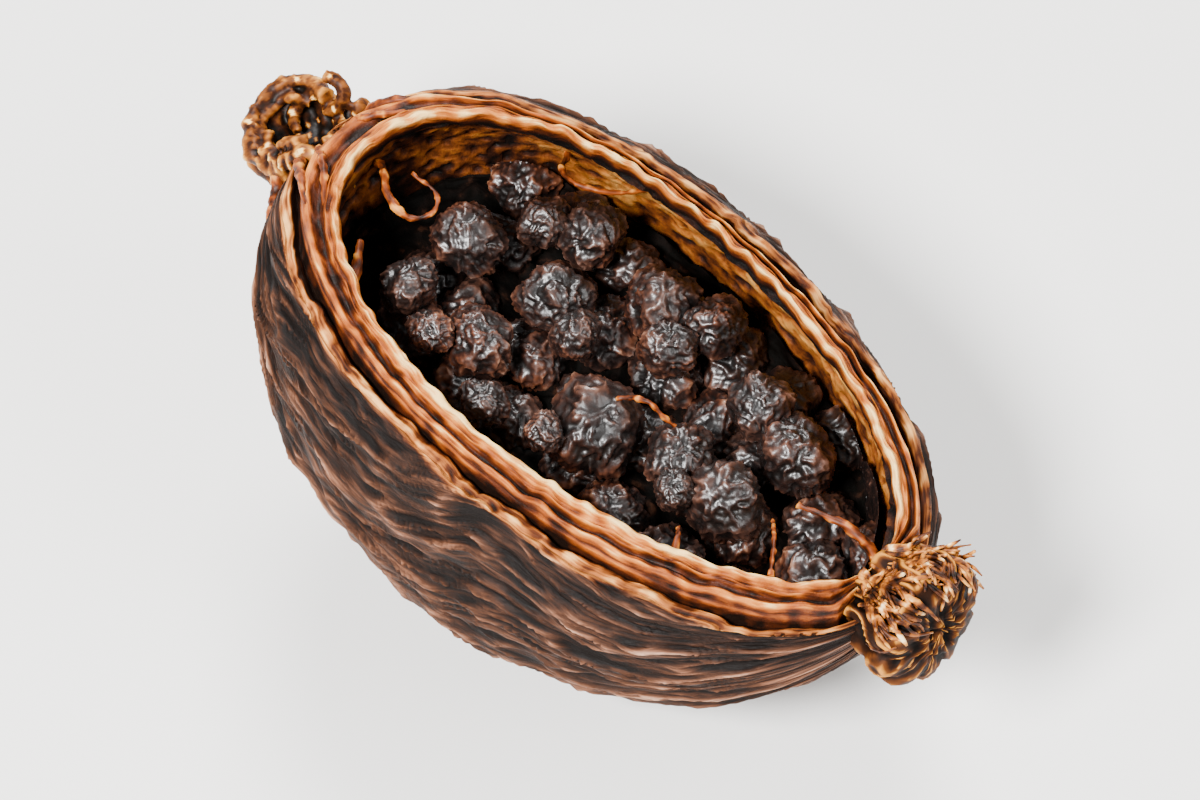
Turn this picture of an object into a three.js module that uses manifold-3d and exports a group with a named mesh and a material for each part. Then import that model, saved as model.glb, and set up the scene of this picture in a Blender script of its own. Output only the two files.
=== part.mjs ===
// A dried black cardamom pod, split open along its upper side. It lies on its belly, opening up.
// Pieces: the ribbed husk with its calyx crown and stalk knob, the fibrous lining with its raised
// lip, the mass of seeds and dried pulp in it, and the clumps of seeds that lie on that mass.
// Millimetres, +Z up. +X runs along the pod from the calyx crown to the stalk knob.
// The origin is on the spot that the pod rests on, under the middle of the body.
import * as THREE from "three";
import { mergeVertices } from "three/addons/utils/BufferGeometryUtils.js";
import Module from "manifold-3d";

const wasm = await Module();
wasm.setup();

// Body of the husk
const bodyHalf = 16.6; // half length, from neck to neck
const bodyRadius = 10.5; // at the floor of the grooves between the ribs
const neckRadius = 2.1;
const bulgeShift = 0.1; // moves the widest place towards the calyx
const bellySag = 3.3; // how far the middle of the body hangs below its two necks
const restTrim = 0.3; // how much of the belly the resting spot flattens
const endHeight = Math.hypot(bodyRadius, neckRadius) + bellySag - restTrim; // of the necks
const restPlace = -1; // the resting spot's middle, along x

// Ribs of the husk
const ribCount = 22;
const ribHeight = 0.62;
const columnsPerRib = 4;
const bodyRows = 25;

// Walls, measured inwards from the grooves at half height. Above that they get thinner.
const cavityInset = 0.75;
const layerGap = 0.3;
const liningWall = 0.65;
const endInset = 1.0; // of the cavity, at each end
const upperThinning = 0.3;

// The cut edge, from the middle to the stalk end, and the lining's lip above it
const rimRise = 4.0; // of the lip above the necks, at the middle
const rimSlope = 1.55;
const rimBow = 0.3;
const rimDip = 1.6; // at the calyx end
const rimLean = 0.04; // the side of +Y is a little higher
const lipHeight = 1.45; // of the lip above the cut edge of the rind
const lipWave = 0.18;
const lipWaveLength = 2.7;
const mouthHalf = 14.6; // half length and half width of the opening inside the lip
const mouthWidth = 7.05;
const mouthPlace = 1.1;
const lipStart = -16.2; // where the lip starts and ends, along x
const lipEnd = 15.4;

// Calyx crown and stalk knob
const crownLength = 3.4;
const crownRadius = 2.3;
const crownPitRadius = 1.2;
const crownTilt = THREE.MathUtils.degToRad(60); // the crown tips upwards
const crownLobes = 8;
const crownRoomRadius = 3.0; // kept free of the lip, round the crown
const knobLength = 3.1;
const knobTilt = THREE.MathUtils.degToRad(10);
const knobRadius = 2.85;
const knobFlutes = 11;
const knobFibres = 12;

// Seeds
const seedDrop = 2.5; // of the seeds' tops below the lip
const seedGap = 0.35; // between neighbouring pieces
const bedSeedSize = 3.1;
const bedPitch = 3.1; // between the rows of seeds in the mass
const bedDrop = 4.6; // of the mass's seeds below the lip
const pulpDrop = 6.3; // of the dried pulp below the lip

// Each clump has a main seed, and smaller ones stuck to its side at an angle in degrees from +X.
const clumps = [
  { x: -8.9, y: 1.2, main: 3.0, sides: [] },
  { x: -5.3, y: 5.3, main: 2.8, sides: [[2.2, 214]] },
  { x: -5.2, y: -2.1, main: 3.0, sides: [[1.9, 223]] },
  { x: -9.1, y: -2.3, main: 2.5, sides: [] },
  { x: -4.2, y: 1.7, main: 3.0, sides: [[2.2, 338]] },
  { x: -0.9, y: 5.0, main: 3.4, sides: [[2.7, 16], [2.5, 319]] },
  { x: 1.1, y: -1.5, main: 4.2, sides: [[1.7, 252]] },
  { x: -2.6, y: -4.6, main: 2.1, sides: [] },
  { x: 8.2, y: 3.4, main: 3.4, sides: [[2.7, 168]] },
  { x: 7.6, y: -0.4, main: 3.5, sides: [[2.9, 178], [1.8, 227]] },
];

// Dried strands that hang from the lining into the opening, each from its root to its tip.
// A point's height is taken from the necks.
const calyxStrand = [
  [-14.9, 0.5, 0.4],
  [-13.4, 0.8, 2.6],
  [-11.4, -0.5, 2.6],
  [-10.0, 0.0, 2.3],
  [-10.4, 1.3, 2.7],
  [-12.2, 1.0, 3.2],
];
const stalkStrand = [[15.0, 1.0, 0.0], [13.4, 0.9, 1.0], [11.0, 0.4, 1.1]];
const sideStrand = [[9.4, -6.7, 0.4], [8.4, -4.4, 1.3], [7.9, -3.7, 0.9]];
const cornerStrand = [[-11.6, -6.5, 0.6], [-10.6, -4.4, 2.2], [-11.6, -3.2, 2.8]];
const strands = [calyxStrand, stalkStrand, sideStrand, cornerStrand];
const strandRadius = 0.32;

// A number from 0 to 1 that looks random and is the same every time.
function chance(n) {
  const s = Math.sin(n * 12.9898) * 43758.5453;
  return s - Math.floor(s);
}

// Half width, at x along the pod, of an egg-shaped body of this half length and radius.
function eggRadius(x, half, radius) {
  const u = THREE.MathUtils.clamp(x / half, -1, 1);
  const shifted = u + bulgeShift * (1 - u * u);
  return radius * Math.sqrt(Math.max(0, 1 - shifted * shifted));
}

// Radius of the husk at x, at the floor of its grooves.
function baseRadius(x) {
  return Math.hypot(eggRadius(x, bodyHalf, bodyRadius), neckRadius);
}

// Height of the body's middle line above the surface, at x.
function axisHeight(x) {
  const u = x / bodyHalf;
  return endHeight - bellySag * (1 - u * u);
}

// How far the ribs wander round the body, in ribs, at x.
function ribDrift(x) {
  return 0.32 * Math.sin(0.21 * x + 1.0) + 0.16 * Math.sin(0.53 * x);
}

// Height of rib number k above the grooves, at x along the pod and y across it.
function ribStrength(k, x, y, radius) {
  const own = 0.55 + 0.6 * chance(k + 1);
  const uneven = 0.8 + 0.2 * Math.sin(0.5 * x + 6.3 * chance(k + 31));
  const ends = Math.min(1, radius / 5);
  const pressed = 1 - 0.65 * Math.exp(-((x - restPlace) ** 2 + y * y) / 18);
  return ribHeight * own * uneven * ends * pressed;
}

// Height of the opening's edge, without its waves.
function edgeHeight(x, y = 0) {
  const u = x / bodyHalf;
  const dip = rimDip * Math.max(0, -u) ** 8;
  return endHeight + rimRise - rimSlope * u - rimBow * u * u - dip + rimLean * y;
}

// Height of the cut edge of the rind, which the lining's lip overhangs.
function rindEdge(x, y) {
  const wave = Math.sin(0.9 * x + 2.0 * Math.sign(y)) + Math.sin(1.7 * x + y);
  return edgeHeight(x, y) - lipHeight + 0.08 * wave;
}

function lipUnderside(x, y) {
  return rindEdge(x, y) + layerGap;
}

function lipTop(x, y) {
  const turns = (2 * Math.PI * x) / lipWaveLength;
  const wave = Math.sin(turns + 1.3 * Math.sign(y)) + 0.6 * Math.sin(1.7 * turns);
  return edgeHeight(x, y) + lipWave * wave;
}

// A geometry as a solid, turned right side out.
function solid(geometry) {
  const bare = geometry.clone();
  bare.deleteAttribute("normal");
  bare.deleteAttribute("uv");
  const merged = mergeVertices(bare, 1e-4);
  const mesh = new wasm.Mesh({
    numProp: 3,
    vertProperties: new Float32Array(merged.attributes.position.array),
    triVerts: new Uint32Array(merged.index.array),
  });
  const made = new wasm.Manifold(mesh);
  if (made.volume() > 0) return made;
  for (let i = 0; i < mesh.triVerts.length; i += 3) {
    mesh.triVerts.subarray(i, i + 2).reverse();
  }
  return new wasm.Manifold(mesh);
}

// A solid as a named mesh of one material.
function piece(name, made, material) {
  const { numProp, vertProperties, triVerts } = made.getMesh();
  const places = new THREE.InterleavedBuffer(vertProperties, numProp);
  const geometry = new THREE.BufferGeometry();
  geometry.setAttribute("position", new THREE.InterleavedBufferAttribute(places, 3, 0));
  geometry.setIndex(new THREE.BufferAttribute(triVerts, 1));
  const mesh = new THREE.Mesh(geometry, material);
  mesh.name = name;
  return mesh;
}

// The largest of a solid's separate bodies.
function largest(made) {
  return made.decompose().reduce((a, b) => (a.volume() > b.volume() ? a : b));
}

function joined(solids) {
  return solids.reduce((a, b) => a.add(b));
}

// A closed body round the pod's middle line, from -half to half, with place(x, column) for its surface.
// A sphere gives the rows and columns, and its two poles are the ends.
function roundBody(half, rows, columns, place) {
  const sphere = new THREE.SphereGeometry(1, columns, rows);
  const positions = sphere.attributes.position;
  const uvs = sphere.attributes.uv;
  for (let i = 0; i < positions.count; i++) {
    const x = half * -positions.getY(i);
    const atPole = Math.abs(positions.getY(i)) > 0.999999;
    const column = atPole ? 0 : Math.round(uvs.getX(i) * columns) % columns;
    const point = place(x, column, atPole);
    positions.setXYZ(i, point.x, point.y, point.z);
  }
  return solid(sphere);
}

// A smooth body that follows the outside, this much smaller all round.
function smoothBody(smaller, rows, columns) {
  return roundBody(bodyHalf, rows, columns, (x, column, atPole) => {
    const r = atPole ? 0 : baseRadius(x) - smaller;
    const turn = (2 * Math.PI * column) / columns;
    return new THREE.Vector3(x, r * Math.sin(turn), axisHeight(x) - r * Math.cos(turn));
  });
}

// A body inside the husk, such as its cavity. The insets are taken at its ends and at half height.
function innerBody(atEnds, inset, rows, columns) {
  const half = bodyHalf - atEnds;
  return roundBody(half, rows, columns, (x, column) => {
    const turn = (2 * Math.PI * column) / columns;
    const closing = Math.sqrt(Math.max(0, 1 - (x / half) ** 10));
    const across = closing * (baseRadius(x) - inset);
    const up = closing * (baseRadius(x) - inset * (Math.cos(turn) < 0 ? upperThinning : 1));
    return new THREE.Vector3(x, across * Math.sin(turn), axisHeight(x) - up * Math.cos(turn));
  });
}

// Everything above a height that varies with x and y.
function above(heightAt, along, across) {
  const block = new THREE.BoxGeometry(44, 26, 20, along, across, 1);
  const positions = block.attributes.position;
  for (let i = 0; i < positions.count; i++) {
    const top = positions.getZ(i) > 0;
    positions.setZ(i, top ? 60 : heightAt(positions.getX(i), positions.getY(i)));
  }
  return solid(block);
}

// A tapered strand along a smooth curve through these points.
function strand(points, rootRadius, tipRadius, sides = 5, steps = 6) {
  const curve = new THREE.CatmullRomCurve3(points.map((p) => new THREE.Vector3(...p)));
  const frames = curve.computeFrenetFrames(steps);
  const tube = new THREE.CylinderGeometry(1, 1, 1, sides, steps);
  const positions = tube.attributes.position;
  for (let i = 0; i < positions.count; i++) {
    const step = Math.round((positions.getY(i) + 0.5) * steps);
    const radius = THREE.MathUtils.lerp(rootRadius, tipRadius, step / steps);
    const point = curve.getPointAt(step / steps);
    point.addScaledVector(frames.normals[step], radius * positions.getX(i));
    point.addScaledVector(frames.binormals[step], radius * positions.getZ(i));
    positions.setXYZ(i, point.x, point.y, point.z);
  }
  return solid(tube);
}

// A body turned about +Z, whose profile is a list of [radius, height], with optional flutes.
function turned(profile, segments, flutes = 0, fluteDepth = 0) {
  const lathe = new THREE.LatheGeometry(profile.map((p) => new THREE.Vector2(...p)), segments);
  lathe.rotateX(Math.PI / 2);
  const positions = lathe.attributes.position;
  for (let i = 0; i < positions.count; i++) {
    const angle = Math.atan2(positions.getY(i), positions.getX(i));
    const swell = 1 + fluteDepth * Math.cos(flutes * angle);
    positions.setX(i, positions.getX(i) * swell);
    positions.setY(i, positions.getY(i) * swell);
  }
  return solid(lathe);
}

// Moves a solid made about +Z so that +Z points along the pod's end, tipped upwards by tilt.
function atEnd(made, side, tilt) {
  const matrix = new THREE.Matrix4().makeTranslation(side * bodyHalf, 0, endHeight);
  matrix.multiply(new THREE.Matrix4().makeRotationY(side * (Math.PI / 2 - tilt)));
  return made.transform(matrix.elements);
}

// The calyx crown: a cup with a pit, ringed by the curled stumps of the withered flower.
function calyxCrown() {
  const cup = turned(
    [
      [0, -1.6],
      [neckRadius, -1.6],
      [neckRadius * 0.95, 0.4],
      [crownRadius * 0.9, 1.5],
      [crownRadius, crownLength * 0.62],
      [crownPitRadius * 1.35, crownLength * 0.66],
      [crownPitRadius, crownLength * 0.4],
      [0, crownLength * 0.34],
    ],
    18,
    crownLobes,
    0.06,
  );
  const lobes = Array.from({ length: crownLobes }, (_, k) => {
    const angle = (2 * Math.PI * (k + 0.5 * chance(k + 61))) / crownLobes;
    const tall = crownLength * (0.85 + 0.3 * chance(k + 71));
    const curl = crownRadius * (0.35 + 0.35 * chance(k + 81));
    const ring = (radius, lift, twist) => [
      radius * Math.cos(angle + twist),
      radius * Math.sin(angle + twist),
      lift,
    ];
    const path = [
      ring(crownRadius * 0.8, crownLength * 0.3, 0),
      ring(crownRadius * 1.02, crownLength * 0.62, 0.1),
      ring(crownRadius * 0.85, tall, 0.3),
      ring(curl, tall * 0.9, 0.6),
    ];
    return strand(path, 0.62, 0.38, 5, 5);
  });
  return atEnd(joined([cup, ...lobes]), -1, crownTilt);
}

// The stalk knob: the fluted scar of the stalk, with torn fibres at its end and along its top.
function stalkKnob() {
  const scar = turned(
    [
      [0, -0.4],
      [knobRadius * 0.86, -0.4],
      [knobRadius * 0.84, 0.4],
      [knobRadius * 0.93, 1.1],
      [knobRadius, knobLength * 0.55],
      [knobRadius * 0.8, knobLength * 0.85],
      [knobRadius * 0.35, knobLength * 0.9],
      [0, knobLength * 0.78],
    ],
    knobFlutes * 3,
    knobFlutes,
    0.07,
  );
  const fibres = Array.from({ length: knobFibres }, (_, k) => {
    const angle = (2 * Math.PI * (k + 0.7 * chance(k + 91))) / knobFibres;
    const near = knobRadius * (0.45 + 0.5 * chance(k + 101));
    const far = near + 0.7 * (chance(k + 111) - 0.3);
    const reach = knobLength * (0.95 + 0.15 * chance(k + 121));
    const path = [
      [near * Math.cos(angle), near * Math.sin(angle), knobLength * 0.45],
      [near * Math.cos(angle), near * Math.sin(angle), knobLength * 0.8],
      [far * Math.cos(angle + 0.3), far * Math.sin(angle + 0.3), reach],
    ];
    return strand(path, 0.45, 0.3, 5, 3);
  });
  return atEnd(joined([scar, ...fibres]), 1, knobTilt);
}

// The ribbed husk: a hollow body, opened by the cut, with the crown and the knob grown on its ends.
function husk() {
  const columns = ribCount * columnsPerRib;
  const outside = roundBody(bodyHalf, bodyRows, columns, (x, column, atPole) => {
    if (atPole) return new THREE.Vector3(x, 0, axisHeight(x));
    const base = baseRadius(x);
    const turn = (2 * Math.PI * (column / columnsPerRib - ribDrift(x))) / ribCount;
    const rib = Math.round(column / columnsPerRib) % ribCount;
    const crest = Math.cos((Math.PI * (column % columnsPerRib)) / columnsPerRib) ** 2;
    const height = ribStrength(rib, x, base * Math.sin(turn), base);
    const r = base + crest * height;
    return new THREE.Vector3(x, r * Math.sin(turn), axisHeight(x) - r * Math.cos(turn));
  });
  const floor = new THREE.BoxGeometry(20, 20, 4).translate(0, 0, -2);
  const whole = outside
    .subtract(above(rindEdge, 40, 6))
    .add(calyxCrown())
    .add(stalkKnob())
    .subtract(innerBody(endInset, cavityInset, 18, 26))
    .subtract(solid(floor));
  return largest(whole);
}

// The opening inside the lip, straight up.
function mouth() {
  const outline = [];
  for (let i = -20; i <= 20; i++) {
    const x = mouthHalf * Math.sin((Math.PI * i) / 40);
    outline.push(new THREE.Vector2(x + mouthPlace, Math.max(0.3, eggRadius(x, mouthHalf, mouthWidth))));
  }
  const back = outline.map((p) => new THREE.Vector2(p.x, -p.y)).reverse();
  const plan = new THREE.Shape([...outline, ...back]);
  const prism = new THREE.ExtrudeGeometry(plan, { depth: 30, bevelEnabled: false });
  const reach = above((x, y) => lipUnderside(x, y) - 1.1, 40, 6);
  return solid(prism.translate(0, 0, 10)).intersect(reach);
}

function hangingStrand(points) {
  const path = points.map(([x, y, height]) => [x, y, endHeight + height]);
  return strand(path, strandRadius * 1.2, strandRadius, 5, 9);
}

// The lining: a thin shell in the rind, a lip that overhangs the rind's cut edge, and the strands.
function lining() {
  const outside = innerBody(endInset + layerGap, cavityInset + layerGap, 18, 26);
  const wallAtEnds = endInset + layerGap + liningWall;
  const inside = innerBody(wallAtEnds, cavityInset + layerGap + liningWall, 18, 26);
  const keep = new THREE.BoxGeometry(lipEnd - lipStart, 40, 80);
  keep.translate((lipStart + lipEnd) / 2, 0, 0);
  const lip = smoothBody(0.15, 24, 40)
    .intersect(above(lipUnderside, 40, 6))
    .intersect(solid(keep));
  const roomProfile = [[0, -2], [crownRoomRadius, -2], [crownRoomRadius, 9], [0, 9]];
  const crownRoom = atEnd(turned(roomProfile, 16), -1, crownTilt);
  const hanging = joined(strands.map(hangingStrand));
  const whole = outside
    .subtract(inside)
    .add(lip)
    .subtract(above(lipTop, 54, 4))
    .subtract(mouth())
    .subtract(crownRoom)
    .add(hanging.intersect(outside));
  return largest(whole);
}

// The space inside the lining, less a gap.
function seedRoom() {
  const inset = cavityInset + layerGap + liningWall + seedGap;
  return innerBody(endInset + layerGap + liningWall + seedGap, inset, 18, 26);
}

// One wrinkled seed of this size. Its number sets its shape and its turn.
function seed(number, size, x, y, z) {
  const lump = new THREE.IcosahedronGeometry(size / 2, 1);
  lump.deleteAttribute("uv");
  lump.deleteAttribute("normal");
  const round = mergeVertices(lump, 1e-4);
  const positions = round.attributes.position;
  const point = new THREE.Vector3();
  for (let i = 0; i < positions.count; i++) {
    point.fromBufferAttribute(positions, i);
    point.multiplyScalar(0.86 + 0.26 * chance(number * 50 + i));
    positions.setXYZ(i, point.x * 1.1, point.y, point.z * 0.92);
  }
  round.rotateX(6.3 * chance(number + 5));
  round.rotateZ(6.3 * chance(number + 9));
  return solid(round.translate(x, y, z));
}

// A clump of seeds, with grow added to each seed's size.
function clump({ x, y, main, sides }, number, grow = 0) {
  const all = sides.map(([size, degrees], k) => {
    const angle = THREE.MathUtils.degToRad(degrees);
    const reach = 0.42 * (main + size);
    return [size, x + reach * Math.cos(angle), y + reach * Math.sin(angle), k + 1];
  });
  all.unshift([main, x, y, 0]);
  return joined(
    all.map(([size, sx, sy, k]) => {
      const top = edgeHeight(sx) - seedDrop - 0.5 * chance(number * 7 + k);
      return seed(number * 10 + k, size + grow, sx, sy, top - size / 2);
    }),
  );
}

// The mass of dried pulp with the lower seeds standing out of it, hollowed where the clumps lie.
function seedMass(room) {
  const pulp = room.subtract(above((x) => edgeHeight(x) - pulpDrop, 12, 4));
  const seeds = [];
  for (let row = -2; row <= 2; row++) {
    for (let place = -3; place <= 4; place++) {
      const number = 200 + row * 20 + place;
      const x = bedPitch * (place + 0.5 * (row & 1) + 0.3 * (chance(number) - 0.5)) - 0.8;
      const y = bedPitch * (row + 0.3 * (chance(number + 3) - 0.5));
      const z = edgeHeight(x) - bedDrop - 0.8 * chance(number + 7) - bedSeedSize / 2;
      seeds.push(seed(number, bedSeedSize, x, y, z));
    }
  }
  const hollows = clumps.map((c, k) => clump(c, k, 2 * seedGap));
  return largest(joined([pulp, ...seeds]).intersect(room).subtract(joined(hollows)));
}

const huskBrown = new THREE.MeshStandardMaterial({ color: "#4a3128", roughness: 0.72, metalness: 0 });
const liningTan = new THREE.MeshStandardMaterial({ color: "#b0713a", roughness: 0.6, metalness: 0 });
const seedBlack = new THREE.MeshStandardMaterial({ color: "#241815", roughness: 0.4, metalness: 0 });

const pod = new THREE.Group();
pod.add(piece("husk", husk(), huskBrown));
pod.add(piece("lining", lining(), liningTan));

const room = seedRoom();
pod.add(piece("seed_mass", seedMass(room), seedBlack));
let taken = null;
clumps.forEach((c, k) => {
  const free = taken ? clump(c, k).subtract(taken) : clump(c, k);
  pod.add(piece(`seed_clump_${k + 1}`, largest(free.intersect(room)), seedBlack));
  const held = clump(c, k, 2 * seedGap);
  taken = taken ? taken.add(held) : held;
});

export default pod;
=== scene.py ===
import math

import bmesh
import bpy
from mathutils import Matrix, Vector, noise


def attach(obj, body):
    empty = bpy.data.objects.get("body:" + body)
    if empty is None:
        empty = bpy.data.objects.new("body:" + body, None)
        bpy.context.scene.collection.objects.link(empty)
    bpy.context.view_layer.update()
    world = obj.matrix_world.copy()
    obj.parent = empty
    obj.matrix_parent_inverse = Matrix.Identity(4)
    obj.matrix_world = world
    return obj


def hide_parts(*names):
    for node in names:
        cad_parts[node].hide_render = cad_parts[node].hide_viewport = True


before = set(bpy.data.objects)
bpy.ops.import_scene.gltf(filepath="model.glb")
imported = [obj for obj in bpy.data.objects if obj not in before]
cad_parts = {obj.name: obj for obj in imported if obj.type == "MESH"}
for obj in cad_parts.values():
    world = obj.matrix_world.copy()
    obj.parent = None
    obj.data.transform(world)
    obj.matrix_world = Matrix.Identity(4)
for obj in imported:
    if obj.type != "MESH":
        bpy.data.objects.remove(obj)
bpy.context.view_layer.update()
mm = 0.001

# Shape of the pod, in mm, mostly the same values as in the CAD part
pod = {
    "bodyHalf": 16.6,  # half the length between the necks
    "bodyRadius": 10.5,
    "neckRadius": 2.1,
    "bulgeShift": 0.1,  # the widest place lies a little towards the calyx end
    "bellySag": 3.3,  # of the body's axis below the necks
    "restTrim": 0.3,  # how much of the belly the resting spot flattens
    "restPlace": -1.0,  # its middle, along x
    "restSpread": 18,  # square mm, where the ribs are pressed
    "ribCount": 22,
    "ribHeight": 0.62,
    "rimRise": 4.0,  # of the lip over the necks
    "rimSlope": 1.55,  # down towards the stalk end
    "rimBow": 0.3,
    "rimDip": 1.6,  # at the calyx end
    "rimLean": 0.04,  # up towards the far side, for each mm
    "lipHeight": 1.45,  # of the lip over the rind's cut edge
    "lipWave": 0.18,
    "lipWaveLength": 2.7,
    "edgeWave": 0.08,  # of the rind's cut edge
    "mouthHalf": 14.6,  # half length and half width of the opening inside the lip
    "mouthWidth": 7.05,
    "mouthPlace": 1.1,  # its middle, along x
    "wallInset": 1.7,  # of the lining's inner side from the pod's side
    "wallAtCalyx": 1.95,  # and from the pod's ends
    "wallAtStalk": 0.85,
    "upperThinning": 0.3,  # share of an inset that is left at the top
    "endPower": 10,  # how square the inside's ends are
}
pod["endHeight"] = math.hypot(pod["bodyRadius"], pod["neckRadius"]) + pod["bellySag"] - pod["restTrim"]


# Form of the pod, in mm
def chance(n):
    # a number from 0 to 1 that looks random and is the same in every run
    s = math.sin(n * 12.9898) * 43758.5453
    return s - math.floor(s)


def clamp(value, low=0.0, high=1.0):
    return max(low, min(high, value))


def blend(a, b, t):
    return a + (b - a) * t


def ease(low, high, value):
    # from 0 at low to 1 at high, with soft ends
    t = clamp((value - low) / (high - low))
    return t * t * (3 - 2 * t)


def noiseAt(x, y, z):
    return noise.noise(Vector((x, y, z)))


def eggRadius(x, half, radius):
    u = clamp(x / half, -1, 1)
    shifted = u + pod["bulgeShift"] * (1 - u * u)
    return radius * math.sqrt(max(0, 1 - shifted * shifted))


def baseRadius(x):
    return math.hypot(eggRadius(x, pod["bodyHalf"], pod["bodyRadius"]), pod["neckRadius"])


def axisHeight(x):
    u = x / pod["bodyHalf"]
    return pod["endHeight"] - pod["bellySag"] * (1 - u * u)


def ribDrift(x):
    # how far the ribs wander round the pod, in ribs
    return 0.32 * math.sin(0.21 * x + 1.0) + 0.16 * math.sin(0.53 * x)


def ribStrength(k, x, y, radius):
    # height of rib k in mm: its own, swelling and fading, and pressed flat at the resting spot
    own = 0.55 + 0.6 * chance(k + 1)
    uneven = 0.8 + 0.2 * math.sin(0.5 * x + 6.3 * chance(k + 31))
    pressed = 1 - 0.65 * math.exp(-((x - pod["restPlace"]) ** 2 + y * y) / pod["restSpread"])
    return pod["ribHeight"] * own * uneven * min(1, radius / 5) * pressed


def edgeHeight(x, y=0):
    # height of the lip's top
    u = x / pod["bodyHalf"]
    height = pod["endHeight"] + pod["rimRise"] - pod["rimSlope"] * u - pod["rimBow"] * u * u
    return height - pod["rimDip"] * max(0, -u) ** 8 + pod["rimLean"] * y


def rindEdge(x, y):
    # height of the rind's cut edge
    side = (y > 0) - (y < 0)
    wave = math.sin(0.9 * x + 2.0 * side) + math.sin(1.7 * x + y)
    return edgeHeight(x, y) - pod["lipHeight"] + pod["edgeWave"] * wave


def endClosing(x, half):
    # how the inside narrows towards its ends, from 1 in the middle to 0
    return math.sqrt(1 - (x / half) ** pod["endPower"])


def innerWidth(x, z, atEnds, inset):
    # half width, at x and height z, of the body inside the husk with these insets
    half = pod["bodyHalf"] - atEnds
    if abs(x) >= half:
        return 0.0
    across = endClosing(x, half) * (baseRadius(x) - inset)
    height = z - axisHeight(x)
    reach = across
    if height > 0:
        reach = endClosing(x, half) * (baseRadius(x) - inset * pod["upperThinning"])
    return across * math.sqrt(max(0, 1 - (height / max(reach, 1e-6)) ** 2))


def wallWidth(x, z):
    # half width of the lining's wall, which reaches further into the stalk end
    return innerWidth(x, z, pod["wallAtCalyx"] if x < 0 else pod["wallAtStalk"], pod["wallInset"])


def outerWidth(x, z, smaller):
    # half width, at x and height z, of the pod's outside, made smaller by so many mm
    if abs(x) >= pod["bodyHalf"]:
        return 0.0
    r = baseRadius(x) - smaller
    return math.sqrt(max(0, r * r - (z - axisHeight(x)) ** 2))


def reachAlong(angle, inside):
    # how far a ray from the middle of the opening goes, in plan, before it leaves a shape
    low, high = 0.0, 19.0
    for _ in range(18):  # halvings, to under 0.0001 mm
        middle = 0.5 * (low + high)
        if inside(pod["mouthPlace"] + middle * math.cos(angle), middle * math.sin(angle)):
            low = middle
        else:
            high = middle
    return low


def ridges(across, along, seed, sharpness=3.4):
    # wandering crests, from 0 in the grooves to 1 on a crest
    return clamp(1 - sharpness * abs(noiseAt(along, across, seed)))


def keepInside(point, atEnds, inset):
    # moves a point that lies outside the lining's inner room back into it
    half = pod["bodyHalf"] - atEnds
    x = clamp(point.x, -0.99 * half, 0.99 * half)
    reach = endClosing(x, half) * (baseRadius(x) - inset)
    height = point.z - axisHeight(x)
    share = min(1, reach / max(math.hypot(point.y, height), 1e-6))
    return Vector((x, point.y * share, axisHeight(x) + height * share))


def planPoint(angle, reach):
    # x and y at the end of that ray
    return pod["mouthPlace"] + reach * math.cos(angle), reach * math.sin(angle)


# Making pieces and materials
def hexColour(text):
    # sRGB hex to the linear colour that a socket takes
    values = [int(text[i:i + 2], 16) / 255 for i in (1, 3, 5)]
    linear = [v / 12.92 if v <= 0.04045 else ((v + 0.055) / 1.055) ** 2.4 for v in values]
    return (*linear, 1.0)


def addNode(tree, kind, settings=None, links=None):
    # settings: property names, or input sockets by name or number; links: input socket to output socket
    made = tree.nodes.new("ShaderNode" + kind)
    for key, value in (settings or {}).items():
        if isinstance(key, str) and hasattr(made, key):
            setattr(made, key, value)
        else:
            made.inputs[key].default_value = value
    for key, socket in (links or {}).items():
        tree.links.new(socket, made.inputs[key])
    return made


def setRamp(made, stops):
    # stops: (place, hex colour)
    ramp = made.color_ramp
    while len(ramp.elements) > 1:
        ramp.elements.remove(ramp.elements[-1])
    ramp.elements[0].position = stops[0][0]
    ramp.elements[0].color = hexColour(stops[0][1])
    for place, colour in stops[1:]:
        ramp.elements.new(place).color = hexColour(colour)
    return made


def newMaterial(name):
    material = bpy.data.materials.new(name)
    material.use_nodes = True
    tree = material.node_tree
    tree.nodes.clear()
    shader = addNode(tree, "BsdfPrincipled")
    addNode(tree, "OutputMaterial", links={"Surface": shader.outputs[0]})
    return material, tree, shader


def keepPiece(name, mesh, material, nodes):
    piece = bpy.data.objects.new(name, mesh)
    bpy.context.scene.collection.objects.link(piece)
    mesh.materials.clear()
    mesh.materials.append(material)
    for face in mesh.polygons:
        face.use_smooth = True
    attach(piece, "root")
    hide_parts(*nodes)


def meshFrom(bm, name):
    mesh = bpy.data.meshes.new(name)
    bm.to_mesh(mesh)
    bm.free()
    return mesh


gridAttributes = ("relief", "layer", "fibre")


def gridPiece(name, columns, rows, place):
    # place(u, v) gives the point in mm, its relief and layer from 0 to 1,
    # and how far along and across the fibres it lies, in mm
    weld = 0.01 * mm
    bm = bmesh.new()
    bmesh.ops.create_grid(bm, x_segments=columns, y_segments=rows, size=1)
    relief = bm.verts.layers.float.new("relief")
    layer = bm.verts.layers.float.new("layer")
    along = bm.verts.layers.float_vector.new("fibre")
    for vert in bm.verts:
        point, height, kind, s, t = place(0.5 * (vert.co.x + 1), 0.5 * (vert.co.y + 1))
        vert.co = point * mm
        vert[relief] = height
        vert[layer] = kind
        vert[along] = (s, t, 0)
    bmesh.ops.remove_doubles(bm, verts=bm.verts, dist=weld)
    bmesh.ops.dissolve_degenerate(bm, edges=bm.edges, dist=weld)
    bmesh.ops.recalc_face_normals(bm, faces=bm.faces)
    return meshFrom(bm, name)


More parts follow.
